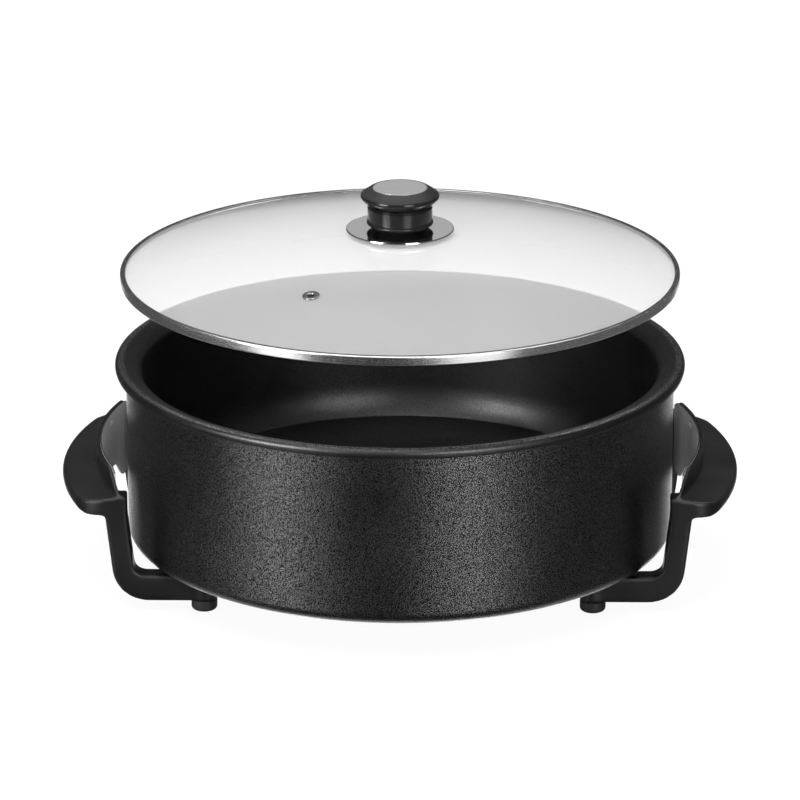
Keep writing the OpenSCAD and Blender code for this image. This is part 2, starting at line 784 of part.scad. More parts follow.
// Turned knob: a bead at its foot, a straight neck, a groove and a wide round head
module knob() {
    neck_r = knob_neck_d / 2;
    head_r = knob_d / 2;
    top_r = inlay_d / 2 + hole_gap;
    foot_r = 0.78 * neck_r;
    bead_r = 1.2;
    bead_z = 4.6;
    groove_w = 1;
    groove_d = 0.9;
    head_z = neck_h + groove_w;
    edge_r = 2.6;
    rim_c = [head_r - edge_r, knob_h - 0.21 * knob_h];
    shoulder_r = top_r + 0.8;
    color(black_gloss)
    translate([0, 0, knob_z])
    rotate_extrude() polygon(concat(
        [[knob_bore_r, 0], [foot_r, 0], [neck_r - bead_r, bead_z - bead_r]],
        arc([neck_r - bead_r / 2, bead_z], bead_r, -70, 70, 6),
        [[neck_r, bead_z + 2 * bead_r], [neck_r, neck_h], [neck_r - groove_d, neck_h],
            [neck_r - groove_d, head_z], [neck_r - groove_d / 2, head_z]],
        arc(rim_c, edge_r, -50, 90 - atan2(knob_h - rim_c.y - edge_r / 2, head_r - shoulder_r), 12),
        [[shoulder_r, knob_h], [top_r, knob_h], [top_r, knob_h - inlay_t - hole_gap],
            [0, knob_h - inlay_t - hole_gap], [0, knob_thread_l], [knob_bore_r, knob_thread_l]]));
}

module knob_inlay() {
    color(bright_steel)
    translate([0, 0, knob_z + knob_h - inlay_t])
    rotate_extrude() polygon([[0, 0], [inlay_d / 2 - hole_gap, 0],
        [inlay_d / 2 - hole_gap, inlay_t - 0.4], [inlay_d / 2 - hole_gap - 0.4, inlay_t], [0, inlay_t]]);
}

module knob_plate() {
    edge = 0.5;
    color(bright_steel)
    translate([0, 0, plate_z])
    rotate_extrude() polygon([[knob_bore_r, 0], [knob_plate_d / 2 - edge, 0], [knob_plate_d / 2, edge],
        [knob_plate_d / 2, knob_plate_t - edge], [knob_plate_d / 2 - edge, knob_plate_t],
        [knob_bore_r, knob_plate_t]]);
}

module knob_gasket() {
    color(seal_grey) ring(gasket_d / 2, knob_bore_r, apex_z, plate_z);
}

module glass_gasket() {
    color(seal_grey) ring(under_gasket_d / 2, knob_bore_r, under_z - gasket_t, under_z);
}

module knob_washer() {
    color(bright_steel) ring(under_gasket_d / 2, knob_bore_r, knob_screw_z, knob_screw_z + washer_t);
}

module knob_screw() {
    color(bright_steel) {
        rod(knob_screw_d / 2, knob_screw_z - fuse, knob_z + knob_thread_l - 1);
        translate([0, 0, knob_screw_z - knob_screw_head_h])
        cylinder(d1 = 1.4 * knob_screw_d, d2 = 2 * knob_screw_d, h = knob_screw_head_h);
    }
}

casing();
inner_pan();
heat_spreader();
heating_element();
heat_reflector();
base_plate();
centre_stud();
base_nut();
handle_left();
handle_right();
heat_shield_left();
heat_shield_right();
shield_rivets();
foot_front_left();
foot_front_right();
foot_rear_left();
foot_rear_right();
foot_screws();
foot_nuts();
inlet_socket();
inlet_screws();
terminal_pins();
terminal_insulators();
probe_sleeve();
earth_contact();
lid_glass();
lid_band();
vent_eyelet();
vent_ring();
knob();
knob_inlay();
knob_plate();
knob_gasket();
glass_gasket();
knob_washer();
knob_screw();
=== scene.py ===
import math
import bpy
from mathutils import Matrix, Vector


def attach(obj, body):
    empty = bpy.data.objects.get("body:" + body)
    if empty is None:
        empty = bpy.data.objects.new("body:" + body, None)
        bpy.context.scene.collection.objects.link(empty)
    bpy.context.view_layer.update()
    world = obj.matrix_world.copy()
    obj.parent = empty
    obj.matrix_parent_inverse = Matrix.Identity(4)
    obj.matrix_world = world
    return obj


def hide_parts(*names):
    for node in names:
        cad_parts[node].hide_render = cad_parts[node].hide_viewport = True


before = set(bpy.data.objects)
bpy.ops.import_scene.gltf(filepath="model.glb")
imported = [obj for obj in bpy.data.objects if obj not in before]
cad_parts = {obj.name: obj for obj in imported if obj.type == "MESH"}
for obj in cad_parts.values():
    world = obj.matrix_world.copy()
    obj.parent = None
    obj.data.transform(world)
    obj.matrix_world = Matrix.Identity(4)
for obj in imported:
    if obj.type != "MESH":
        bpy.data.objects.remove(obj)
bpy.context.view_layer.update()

MM = 0.001

# Sizes in millimetres, as in the part's construction but for the pan's toe, sweep and inner bend
SEAT_GAP = 0.2

# Cooking pan
RIM_R = 210.0
CREST_Z = 166.0
SKIRT_H = 7.0
SKIRT_EDGE_H = 1.6
SKIRT_DRAFT = 0.15
SKIRT_TUCK = 0.6
PAN_T = 3.0
PAN_EDGE = 0.5
BEND_R = 4.2
INNER_BEND_R = 8.0
FLANGE_W = 20.0
FLANGE_SLOPE = 20.0
WALL_LEAN = 3.4
FLOOR_Z = 57.0
FLOOR_RINGS = (0.0, 60.0, 120.0)
TOE_R = 2.0
SWEEP_R = 47.0
SWEEP_Z = 27.5

# Casing, its inlet window, and the base plate
CASING_R = 202.0
CASING_T = 1.2
CASING_Z = 30.2
CASING_CORNER_R = 10.0
CASING_LIP_W = 18.0
CASING_RINGS = (60.0, 90.0, 120.0)
INLET_Z = 45.5
INLET_HALF_W = 31.2
INLET_HALF_H = 8.2
WINDOW_DEPTH = 60.0
WINDOW_CORNER_R = 1.2
BASE_Z = 29.0
BASE_T = 1.2
BASE_R = 192.5
BASE_EDGE = 0.4
DISH_R = 130.0
DISH_H = 3.0
STUD_HOLE_R = 4.1

# Handles and feet
GUARD_R = 225.0
GUARD_Z = 85.0
GUARD_MARGIN = 2.0
LEG_TOP_Z = 71.0
BOSS_MARGIN = 1.5
HANDLE_VOXEL = 1.1
FOOT_X = 142.0
FOOT_Y = 89.5
FOOT_R = 9.5
FOOT_H = 8.5
FOOT_EDGE_R = 3.0
FOOT_TOP_EDGE = 0.5
FOOT_BORE_R = 4.85
FOOT_MOUTH = 0.6
FOOT_RECESS = 4.5
FOOT_SCREW_R = 2.6

# Lid: band, glass and steam vent
BAND_Z = 226.3
BAND_H = 7.0
BAND_R = 205.2
BAND_T = 0.8
BAND_LIP = 3.0
BAND_CORNER_R = 1.2
BAND_EASE = 0.3
GLASS_R = 204.2
GLASS_T = 4.0
GLASS_EASE = 0.4
DOME_H = 30.0
DOME_R = (GLASS_R ** 2 + DOME_H ** 2) / (2 * DOME_H)
EDGE_SLOPE = math.asin(GLASS_R / DOME_R)
GLASS_EDGE_Z = BAND_Z + BAND_H - BAND_T - SEAT_GAP - BAND_LIP * math.tan(EDGE_SLOPE)
DOME_Z = GLASS_EDGE_Z + DOME_H - DOME_R
APEX_Z = GLASS_EDGE_Z + DOME_H
VENT_REACH = 132.0
VENT_TURN = math.radians(242)
VENT_HOLE_R = 3.8
VENT_DRILL_H = 20.0

# Knob, its plate and its inlay
GASKET_T = 1.0
PLATE_Z = APEX_Z + GASKET_T
PLATE_R = 39.5
PLATE_T = 2.0
PLATE_EASE = 0.5
KNOB_Z = PLATE_Z + PLATE_T
KNOB_H = 30.8
KNOB_BORE_R = 2.6
KNOB_BORE_H = 14.0
HEAD_R = 28.8
HEAD_EDGE_R = 2.6
HEAD_EDGE_Z = 0.79 * KNOB_H
SHOULDER_Z = (KNOB_Z + 0.82 * KNOB_H, KNOB_Z + 0.86 * KNOB_H)
INLAY_R = 19.9
INLAY_T = 1.4
INLAY_EASE = 0.4
INLAY_SEAT_R = 20.1
INLAY_SEAT_H = 1.5

# Steps of a full turn for the round pieces
PAN_STEPS = 288
BASE_STEPS = 224
FOOT_STEPS = 64
GLASS_STEPS = 256
BAND_STEPS = 320
VENT_STEPS = 48
KNOB_STEPS = 192
INLAY_STEPS = 160

# Distances under which points are merged, on turned pieces and on copies of solids
TURNED_MERGE = 0.002
SOLID_MERGE = 0.004


def start_fresh():
    """Object mode with nothing selected."""
    if bpy.context.mode != "OBJECT":
        bpy.ops.object.mode_set(mode="OBJECT")
    bpy.ops.object.select_all(action="DESELECT")


def take(piece):
    """Makes a piece the only one selected, and active."""
    start_fresh()
    piece.select_set(True)
    bpy.context.view_layer.objects.active = piece


def arc(centre, radius, first, last, steps=8):
    """Points of an arc in the (radius, height) plane, angles in degrees."""
    points = []
    for step in range(steps + 1):
        angle = math.radians(first + (last - first) * step / steps)
        points.append((centre[0] + radius * math.cos(angle), centre[1] + radius * math.sin(angle)))
    return points


def eased_edge(radius, top, ease):
    """The rounded upper edge of a disc, and the ring inside it that keeps the face flat."""
    cut_in = 0.3 * ease
    ring_r = radius - ease - 0.2
    return [(radius, top - ease), (radius - cut_in, top - cut_in), (radius - ease, top), (ring_r, top)]


def smooth(piece, degrees=30):
    """Smooth shading, with edges sharper than the angle kept."""
    take(piece)
    bpy.ops.object.shade_smooth_by_angle(angle=math.radians(degrees))


def apply_all(piece):
    """Applies a piece's modifiers in their order."""
    take(piece)
    for modifier in list(piece.modifiers):
        bpy.ops.object.modifier_apply(modifier=modifier.name)


def close_up(piece):
    """Merges doubles and turns all faces outwards."""
    take(piece)
    bpy.ops.object.mode_set(mode="EDIT")
    bpy.ops.mesh.select_all(action="SELECT")
    bpy.ops.mesh.remove_doubles(threshold=TURNED_MERGE * MM)
    bpy.ops.mesh.normals_make_consistent(inside=False)
    bpy.ops.object.mode_set(mode="OBJECT")


def lathe(name, outline, steps, closed=True, degrees=30):
    """Draws an outline of (radius, height) points vertex by vertex and spins it round the axis."""
    start_fresh()
    bpy.ops.mesh.primitive_plane_add(size=MM)
    piece = bpy.context.active_object
    piece.name = name
    piece.data.name = name
    points = [Vector((r * MM, 0, z * MM)) for r, z in outline]
    if closed:
        points.append(points[0])
    bpy.ops.object.mode_set(mode="EDIT")
    bpy.ops.mesh.select_all(action="SELECT")
    bpy.ops.mesh.merge(type="CENTER")
    bpy.ops.transform.translate(value=points[0])
    for near, far in zip(points, points[1:]):
        bpy.ops.mesh.extrude_vertices_move(TRANSFORM_OT_translate={"value": far - near})
    bpy.ops.mesh.select_all(action="SELECT")
    bpy.ops.mesh.spin(steps=steps, angle=2 * math.pi, center=(0, 0, 0), axis=(0, 0, 1))
    bpy.ops.object.mode_set(mode="OBJECT")
    close_up(piece)
    smooth(piece, degrees)
    return piece


def put(piece, matrix):
    """Moves a piece's mesh, so that its object stays at the origin."""
    take(piece)
    piece.matrix_world = matrix
    bpy.ops.object.transform_apply(location=True, rotation=True, scale=True)


def cut(piece, cutter):
    """Takes a cutter's shape out of a piece and removes the cutter."""
    modifier = piece.modifiers.new("cut", "BOOLEAN")
    modifier.operation = "DIFFERENCE"
    modifier.solver = "EXACT"
    modifier.object = cutter
    apply_all(piece)
    bpy.data.objects.remove(cutter)


def round_edges(piece, width, segments=2, degrees=40):
    """Bevels the edges that are sharper than an angle."""
    modifier = piece.modifiers.new("round", "BEVEL")
    modifier.width = width * MM
    modifier.segments = segments
    modifier.limit_method = "ANGLE"
    modifier.angle_limit = math.radians(degrees)
    modifier.use_clamp_overlap = True
    apply_all(piece)


def copy_of(node, name):
    """A merged copy of a construction solid, to be finished by hand."""
    start_fresh()
    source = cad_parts[node]
    piece = bpy.data.objects.new(name, source.data.copy())
    bpy.context.scene.collection.objects.link(piece)
    piece.data.materials.clear()
    take(piece)
    bpy.ops.object.mode_set(mode="EDIT")
    bpy.ops.mesh.select_all(action="SELECT")
    bpy.ops.mesh.remove_doubles(threshold=SOLID_MERGE * MM)
    bpy.ops.mesh.select_all(action="SELECT")
    bpy.ops.mesh.dissolve_limited(angle_limit=math.radians(0.5))
    bpy.ops.object.mode_set(mode="OBJECT")
    return piece


def dress(piece, material, body, slot, *nodes):
    """Gives a piece its finish, the body it rides on, and the solids that it stands for."""
    piece.data.materials.clear()
    piece.data.materials.append(material)
    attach(piece, body)
    if nodes:
        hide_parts(*nodes)


def soften_solid(node, name, material, body, slot, width, degrees=40):
    """A solid that keeps its shape and gets softened edges and its finish."""
    piece = copy_of(node, name)
    round_edges(piece, width, 2, degrees)
    smooth(piece)
    dress(piece, material, body, slot, node)


# Shader nodes, and node groups for the effects that several finishes share
def new_group(name, inputs, outputs):
    """An empty shader group with float inputs and outputs."""
    group = bpy.data.node_groups.new(name, "ShaderNodeTree")
    for label, value in inputs:
        socket = group.interface.new_socket(name=label, in_out="INPUT", socket_type="NodeSocketFloat")
        socket.default_value = value
    for label in outputs:
        group.interface.new_socket(name=label, in_out="OUTPUT", socket_type="NodeSocketFloat")
    return group


def math_node(tree, operation, a, b):
    """A Math node whose inputs are sockets or numbers."""
    node = tree.nodes.new("ShaderNodeMath")
    node.operation = operation
    for index, value in enumerate((a, b)):
        if isinstance(value, (int, float)):
            node.inputs[index].default_value = value
        else:
            tree.links.new(value, node.inputs[index])
    return node.outputs[0]


def spread(tree, value, low, high, new_low=0.0, new_high=1.0):
    """A clamped Map Range from [low, high] to [new_low, new_high]."""
    node = tree.nodes.new("ShaderNodeMapRange")
    tree.links.new(value, node.inputs["Value"])
    node.inputs["From Min"].default_value = low
    node.inputs["From Max"].default_value = high
    node.inputs["To Min"].default_value = new_low
    node.inputs["To Max"].default_value = new_high
    return node.outputs["Result"]


def between(tree, mask, at_none, at_full):
    """The value that a mask of 0 to 1 picks between two values."""
    return spread(tree, mask, 0.0, 1.0, at_none, at_full)


def noise(tree, vector, scale, detail=2.0, rough=0.5):
    """A Noise texture; its scale is a number or a socket."""
    node = tree.nodes.new("ShaderNodeTexNoise")
    tree.links.new(vector, node.inputs["Vector"])
    if isinstance(scale, (int, float)):
        node.inputs["Scale"].default_value = scale
    else:
        tree.links.new(scale, node.inputs["Scale"])
    node.inputs["Detail"].default_value = detail
    node.inputs["Roughness"].default_value = rough
    return node


def object_place(tree):
    """The Object coordinates of the point that is shaded."""
    return tree.nodes.new("ShaderNodeTexCoord").outputs["Object"]


def object_axis(tree, axis):
    """One axis of the Object coordinates."""
    split = tree.nodes.new("ShaderNodeSeparateXYZ")
    tree.links.new(object_place(tree), split.inputs[0])
    return split.outputs[axis]


def vector_node(tree, operation, first, second=None, scale=None):
    """A Vector Math node on sockets."""
    node = tree.nodes.new("ShaderNodeVectorMath")
    node.operation = operation
    tree.links.new(first, node.inputs[0])
    if second is not None:
        tree.links.new(second, node.inputs[1])
    if scale is not None:
        tree.links.new(scale, node.inputs["Scale"])
    return node


def hammer_group():
    """Hammered paint: small rounded tops with pits between them, and slow mottling."""
    group = new_group("hammered_grain", [("Scale", 600.0), ("Warp", 0.0006)],
                      ["Height", "Tops", "Mottle"])
    source = group.nodes.new("NodeGroupInput")
    sink = group.nodes.new("NodeGroupOutput")
    place = object_place(group)
    scale = source.outputs["Scale"]
    swirl = noise(group, place, math_node(group, "MULTIPLY", scale, 0.6), 1.0)
    centred = vector_node(group, "SUBTRACT", swirl.outputs["Color"])
    centred.inputs[1].default_value = (0.5, 0.5, 0.5)
    warp = vector_node(group, "SCALE", centred.outputs[0], scale=source.outputs["Warp"])
    moved = vector_node(group, "ADD", place, warp.outputs[0])
    cells = group.nodes.new("ShaderNodeTexVoronoi")
    cells.feature = "SMOOTH_F1"
    cells.inputs["Smoothness"].default_value = 0.35
    group.links.new(moved.outputs[0], cells.inputs["Vector"])
    group.links.new(scale, cells.inputs["Scale"])
    reach = cells.outputs["Distance"]
    hills = spread(group, reach, 0.1, 0.75, 1.0, 0.0)
    fine = noise(group, place, math_node(group, "MULTIPLY", scale, 2.5), 2.0)
    grit = spread(group, fine.outputs["Fac"], 0.3, 0.7, 0.0, 0.3)
    group.links.new(math_node(group, "ADD", hills, grit), sink.inputs["Height"])
    group.links.new(spread(group, reach, 0.26, 0.56, 1.0, 0.0), sink.inputs["Tops"])
    slow = noise(group, place, 22.0, 3.0)
    group.links.new(spread(group, slow.outputs["Fac"], 0.3, 0.7), sink.inputs["Mottle"])
    return group


def brush_group():
    """Brushed metal: fine lines that run round the axis, and slow drift in their tone."""
    group = new_group("brushed_lines", [("Across", 900.0), ("Along", 12.0), ("Radial", 0.0)],
                      ["Lines", "Drift"])
    source = group.nodes.new("NodeGroupInput")
    sink = group.nodes.new("NodeGroupOutput")
    place = object_place(group)
    split = group.nodes.new("ShaderNodeSeparateXYZ")
    group.links.new(place, split.inputs[0])
    flat = group.nodes.new("ShaderNodeCombineXYZ")
    lines_at = group.nodes.new("ShaderNodeCombineXYZ")
    for axis in ("X", "Y"):
        group.links.new(split.outputs[axis], flat.inputs[axis])
        stretched = math_node(group, "MULTIPLY", split.outputs[axis], source.outputs["Along"])
        group.links.new(stretched, lines_at.inputs[axis])
    reach = vector_node(group, "LENGTH", flat.outputs[0])
    radial = math_node(group, "MULTIPLY", reach.outputs["Value"], source.outputs["Radial"])
    height = math_node(group, "ADD", split.outputs["Z"], radial)
    group.links.new(math_node(group, "MULTIPLY", height, source.outputs["Across"]), lines_at.inputs["Z"])
    strokes = noise(group, lines_at.outputs[0], 1.0, 4.0, 0.65)
    group.links.new(spread(group, strokes.outputs["Fac"], 0.25, 0.75), sink.inputs["Lines"])
    slow = noise(group, place, 14.0, 2.0)
    group.links.new(spread(group, slow.outputs["Fac"], 0.3, 0.7), sink.inputs["Drift"])
    return group


def skin_group():
    """Moulded skin: a very fine spark-eroded grain with soft handling marks."""
    group = new_group("moulded_skin", [("Scale", 1600.0), ("Marks", 26.0)], ["Height", "Marks"])
    source = group.nodes.new("NodeGroupInput")
    sink = group.nodes.new("NodeGroupOutput")
    place = object_place(group)
    fine = noise(group, place, source.outputs["Scale"], 3.0, 0.6)
    group.links.new(fine.outputs["Fac"], sink.inputs["Height"])
    slow = noise(group, place, source.outputs["Marks"], 4.0, 0.6)
    group.links.new(spread(group, slow.outputs["Fac"], 0.35, 0.68), sink.inputs["Marks"])
    return group


HAMMER = hammer_group()
BRUSH = brush_group()
SKIN = skin_group()


def new_finish(name):
    """A material with its Principled shader, and the tree to build in."""
    material = bpy.data.materials.new(name)
    material.use_nodes = True
    tree = material.node_tree
    return material, tree, tree.nodes["Principled BSDF"]


def add_group(tree, group, **values):
    """Places a shared group in a material with its own values."""
    node = tree.nodes.new("ShaderNodeGroup")
    node.node_tree = group
    for label, value in values.items():
        node.inputs[label].default_value = value
    return node


def grey(value):
    """A neutral colour of one tone."""
    return (value, value, value, 1)


def tint(tree, mask, dark, light, socket):
    """Mixes two greys by a mask into a colour socket."""
    node = tree.nodes.new("ShaderNodeMix")
    node.data_type = "RGBA"
    tree.links.new(mask, node.inputs["Factor"])
    node.inputs["A"].default_value = grey(dark)
    node.inputs["B"].default_value = grey(light)
    tree.links.new(node.outputs["Result"], socket)


def bump(tree, shader, height, strength, distance):
    """A Bump node; distance = the full height in millimetres."""
    node = tree.nodes.new("ShaderNodeBump")
    node.inputs["Strength"].default_value = strength
    node.inputs["Distance"].default_value = distance * MM
    tree.links.new(height, node.inputs["Height"])
    tree.links.new(node.outputs["Normal"], shader.inputs["Normal"])


def hammered_paint(name, scale, pit_tone, top_tone, rough, depth, edge=None):
    """Black metallic paint or coating: its tone is the little light that it mirrors.

    edge = the heights in mm between which a painted highlight brightens it, and how many times brighter.
    """
    material, tree, shader = new_finish(name)
    grain = add_group(tree, HAMMER, Scale=scale, Warp=0.35 / scale)
    tops = grain.outputs["Tops"]
    if edge:
        low, high, gain = edge
        # painted highlight: between these heights the tops grow brighter, up to the gain
        crest_highlight = spread(tree, object_axis(tree, "Z"), low * MM, high * MM, 1.0, gain)
        tops = math_node(tree, "MULTIPLY", tops, crest_highlight)
    tone = between(tree, tops, pit_tone, top_tone)
    tone.node.clamp = False
    tree.links.new(tone, shader.inputs["Base Color"])
    shader.inputs["Metallic"].default_value = 1.0
    pitted = between(tree, grain.outputs["Tops"], rough + 0.12, rough - 0.04)
    mottle = between(tree, grain.outputs["Mottle"], -0.03, 0.03)
    tree.links.new(math_node(tree, "ADD", pitted, mottle), shader.inputs["Roughness"])
    bump(tree, shader, grain.outputs["Height"], 1.0, depth)
    return material


def brushed_metal(name, tone, rough, across, along, radial, depth, metallic=1.0, edge=None):
    """Metal with brushed or spun lines; edge = the attribute that marks the upward-facing faces, which
    painted shade darkens.
    """
    material, tree, shader = new_finish(name)
    lines = add_group(tree, BRUSH, Across=across, Along=along, Radial=radial)
    colour = between(tree, lines.outputs["Lines"], tone * 0.86, tone * 1.08)
    if edge:
        mark = tree.nodes.new("ShaderNodeAttribute")
        mark.attribute_name = edge
        # painted shade: the faces that the attribute marks are darkened nearly to black
        edge_shade = spread(tree, mark.outputs["Fac"], 0.3, 0.6, 1.0, 0.02)
        colour = math_node(tree, "MULTIPLY", colour, edge_shade)
    tree.links.new(colour, shader.inputs["Base Color"])
    shader.inputs["Metallic"].default_value = metallic
    rough_at = between(tree, lines.outputs["Drift"], rough * 0.85, rough * 1.15)
    tree.links.new(rough_at, shader.inputs["Roughness"])
    bump(tree, shader, lines.outputs["Lines"], 0.5, depth)
    return material


def moulding(name, dark, light, rough, depth, level, satin=None):
    """Moulded plastic or rubber with a fine grain; satin = the heights in mm over which it dulls."""
    material, tree, shader = new_finish(name)
    skin = add_group(tree, SKIN)
    tint(tree, skin.outputs["Marks"], dark, light, shader.inputs["Base Color"])
    rough_at = between(tree, skin.outputs["Marks"], rough - 0.05, rough + 0.06)
    if satin:
        low, high = satin
        dull = spread(tree, object_axis(tree, "Z"), low * MM, high * MM, 0.0, 0.36)
        rough_at = math_node(tree, "ADD", rough_at, dull)
    tree.links.new(rough_at, shader.inputs["Roughness"])
    shader.inputs["Specular IOR Level"].default_value = level
    bump(tree, shader, skin.outputs["Height"], 0.6, depth)
    return material


def lid_pane():
    """Clear toughened glass with a pale bloom, that lets lamplight through."""
    material, tree, shader = new_finish("clear_pane")
    shader.inputs["Base Color"].default_value = grey(0.965)
    shader.inputs["Transmission Weight"].default_value = 0.69
    shader.inputs["IOR"].default_value = 1.38
    skin = add_group(tree, SKIN, Scale=40.0, Marks=9.0)
    tree.links.new(between(tree, skin.outputs["Marks"], 0.0, 0.02), shader.inputs["Roughness"])
    clear = tree.nodes.new("ShaderNodeBsdfTransparent")
    clear.inputs["Color"].default_value = grey(0.94)
    path = tree.nodes.new("ShaderNodeLightPath")
    mix = tree.nodes.new("ShaderNodeMixShader")
    tree.links.new(path.outputs["Is Shadow Ray"], mix.inputs["Fac"])
    tree.links.new(shader.outputs["BSDF"], mix.inputs[1])
    tree.links.new(clear.outputs["BSDF"], mix.inputs[2])
    tree.links.new(mix.outputs["Shader"], tree.nodes["Material Output"].inputs["Surface"])
    return material


# The finishes
casing_paint = hammered_paint("casing_paint", scale=1350.0, pit_tone=0.016, top_tone=0.17,
                              rough=0.29, depth=0.055)
# The pan coat carries a painted highlight just below the crest, along the rim's crest line
pan_coat = hammered_paint("pan_coat", scale=1300.0, pit_tone=0.033, top_tone=0.055,
                          rough=0.33, depth=0.02, edge=(CREST_Z - 1.0, CREST_Z - 0.2, 16.0))
# The shield's finish is darkened almost to black on its upward-facing faces: painted shade on the sheet's
# top edge
shield_steel = brushed_metal("shield_steel", tone=0.88, rough=0.55, across=60.0, along=420.0,
                             radial=0.0, depth=0.01, metallic=0.0, edge="upper_edge")
base_steel = brushed_metal("base_steel", tone=0.62, rough=0.30, across=700.0, along=9.0,
                           radial=1.0, depth=0.02)
spun_inlay = brushed_metal("spun_inlay", tone=0.50, rough=0.30, across=3000.0, along=5.0,
                           radial=1.0, depth=0.015, metallic=0.4)
plate_polish = brushed_metal("plate_polish", tone=0.60, rough=0.08, across=1500.0, along=4.0,
                             radial=1.0, depth=0.0005)
band_polish = brushed_metal("band_polish", tone=0.45, rough=0.24, across=900.0, along=5.0,
                            radial=0.3, depth=0.004, metallic=0.96)
vent_polish = brushed_metal("vent_polish", tone=0.24, rough=0.22, across=900.0, along=40.0,
                            radial=0.3, depth=0.004, metallic=0.7)
plated_steel = brushed_metal("plated_steel", tone=0.60, rough=0.24, across=1200.0, along=40.0,
                             radial=0.4, depth=0.004)
cast_aluminium = brushed_metal("cast_aluminium", tone=0.48, rough=0.45, across=260.0, along=200.0,
                               radial=0.2, depth=0.03)
satin_moulding = moulding("satin_moulding", dark=0.002, light=0.004, rough=0.46, depth=0.04, level=0.32)
gloss_moulding = moulding("gloss_moulding", dark=0.014, light=0.018, rough=0.18, depth=0.004, level=0.22,
                          satin=SHOULDER_Z)
foot_rubber = moulding("foot_rubber", dark=0.008, light=0.012, rough=0.62, depth=0.06, level=0.4)
white_ceramic = moulding("white_ceramic", dark=0.60, light=0.68, rough=0.55, depth=0.04, level=0.5)
grey_seal = moulding("grey_seal", dark=0.20, light=0.26, rough=0.6, depth=0.04, level=0.5)
clear_pane = lid_pane()

# The casing: one spun sheet with a rounded bottom corner, and its inlet window at the rear
CREST_C = (RIM_R - BEND_R, CREST_Z - BEND_R)
slope_angle = math.radians(FLANGE_SLOPE)
slope = math.tan(slope_angle)
rim_under = (CREST_C[1] + (BEND_R - PAN_T) / math.cos(slope_angle)
             - (CREST_C[0] - CASING_R + CASING_T) * slope)
casing_top = rim_under - SEAT_GAP
casing_corner = (CASING_R - CASING_CORNER_R, CASING_Z + CASING_CORNER_R)
casing_line = [(CASING_R - CASING_LIP_W, CASING_Z)]
casing_line += arc(casing_corner, CASING_CORNER_R, -90, 0, 16)
casing_line += [(CASING_R, z) for z in CASING_RINGS]
casing_line += [(CASING_R, casing_top), (CASING_R - CASING_T, casing_top)]
casing_line += arc(casing_corner, CASING_CORNER_R - CASING_T, 0, -90, 16)
casing_line += [(CASING_R - CASING_LIP_W, CASING_Z + CASING_T)]
casing = lathe("casing_shell", casing_line, PAN_STEPS)
start_fresh()
bpy.ops.mesh.primitive_cube_add(size=1)
window = bpy.context.active_object
window.dimensions = (2 * INLET_HALF_W * MM, WINDOW_DEPTH * MM, 2 * INLET_HALF_H * MM)
window.location = (0, CASING_R * MM, INLET_Z * MM)
bpy.ops.object.transform_apply(location=True, rotation=True, scale=True)
round_edges(window, WINDOW_CORNER_R, 3)
cut(casing, window)
smooth(casing)
dress(casing, casing_paint, "pan", "hammered_black", "casing")

# The cast pan: floor, toe, sweep, leaning wall, sloping rim and turned-down skirt in one wall.
# Names that end in _C are the centres of its arcs.
level_w = FLANGE_W - 2 * BEND_R
BEND_C = (CREST_C[0] - level_w, CREST_C[1] - level_w * slope)
lean = math.radians(WALL_LEAN)
wall_top = (BEND_C[0] - BEND_R * math.cos(lean), BEND_C[1] + BEND_R * math.sin(lean))
sweep_z = FLOOR_Z + SWEEP_Z
sweep_top_z = sweep_z - SWEEP_R * math.sin(lean)
sweep_top_r = wall_top[0] - (wall_top[1] - sweep_top_z) * math.tan(lean)
SWEEP_C = (sweep_top_r - SWEEP_R * math.cos(lean), sweep_z)
toe_angle = math.asin((SWEEP_Z - TOE_R) / (SWEEP_R - TOE_R))
TOE_C = (SWEEP_C[0] + (SWEEP_R - TOE_R) * math.cos(toe_angle), FLOOR_Z + TOE_R)
TOE_TURN = math.degrees(toe_angle)

# The centre of the wider inner bend, which touches the same slope and wall as a tight one
rim_normal = Vector((-math.sin(slope_angle), math.cos(slope_angle)))
wall_normal = Vector((-math.cos(lean), math.sin(lean)))
soft_shift = (rim_normal + wall_normal) * (INNER_BEND_R - BEND_R) / (1 + rim_normal.dot(wall_normal))
SOFT_C = (BEND_C[0] - soft_shift[0], BEND_C[1] - soft_shift[1])


def pan_line(depth):
    """The pan's section, depth below its cooking face, from the axis to the skirt."""
    outer_r = RIM_R - depth
    skirt_z = CREST_Z - SKIRT_H
    line = [(r, FLOOR_Z - depth) for r in FLOOR_RINGS]
    line += arc(TOE_C, TOE_R + depth, -90, -TOE_TURN, 6)
    line += arc(SWEEP_C, SWEEP_R + depth, -TOE_TURN, -WALL_LEAN, 14)
    line += arc(SOFT_C, INNER_BEND_R - depth, 180 - WALL_LEAN, 90 + FLANGE_SLOPE, 14)
    line += arc(CREST_C, BEND_R - depth, 90 + FLANGE_SLOPE, 0, 14)
    line += [(outer_r - SKIRT_DRAFT, skirt_z + SKIRT_EDGE_H), (outer_r - SKIRT_TUCK, skirt_z)]
    return line


inner_pan = lathe("cooking_pan", pan_line(0) + pan_line(PAN_T)[::-1], PAN_STEPS, closed=False)
round_edges(inner_pan, PAN_EDGE, 2, 60)
smooth(inner_pan)
dress(inner_pan, pan_coat, "pan", "pan_coating", "inner_pan")

# The bright base plate with its raised middle
base_plate = lathe("base_cover", [
    (STUD_HOLE_R, BASE_Z + DISH_H), (DISH_R, BASE_Z + DISH_H), (DISH_R + DISH_H, BASE_Z),
    (BASE_R - BASE_EDGE, BASE_Z), (BASE_R, BASE_Z + BASE_EDGE), (BASE_R, BASE_Z + BASE_T),
    (DISH_R + DISH_H, BASE_Z + BASE_T), (DISH_R, BASE_Z + DISH_H + BASE_T),
    (STUD_HOLE_R, BASE_Z + DISH_H + BASE_T)], BASE_STEPS)
dress(base_plate, base_steel, "pan", "bright_steel", "base_plate")

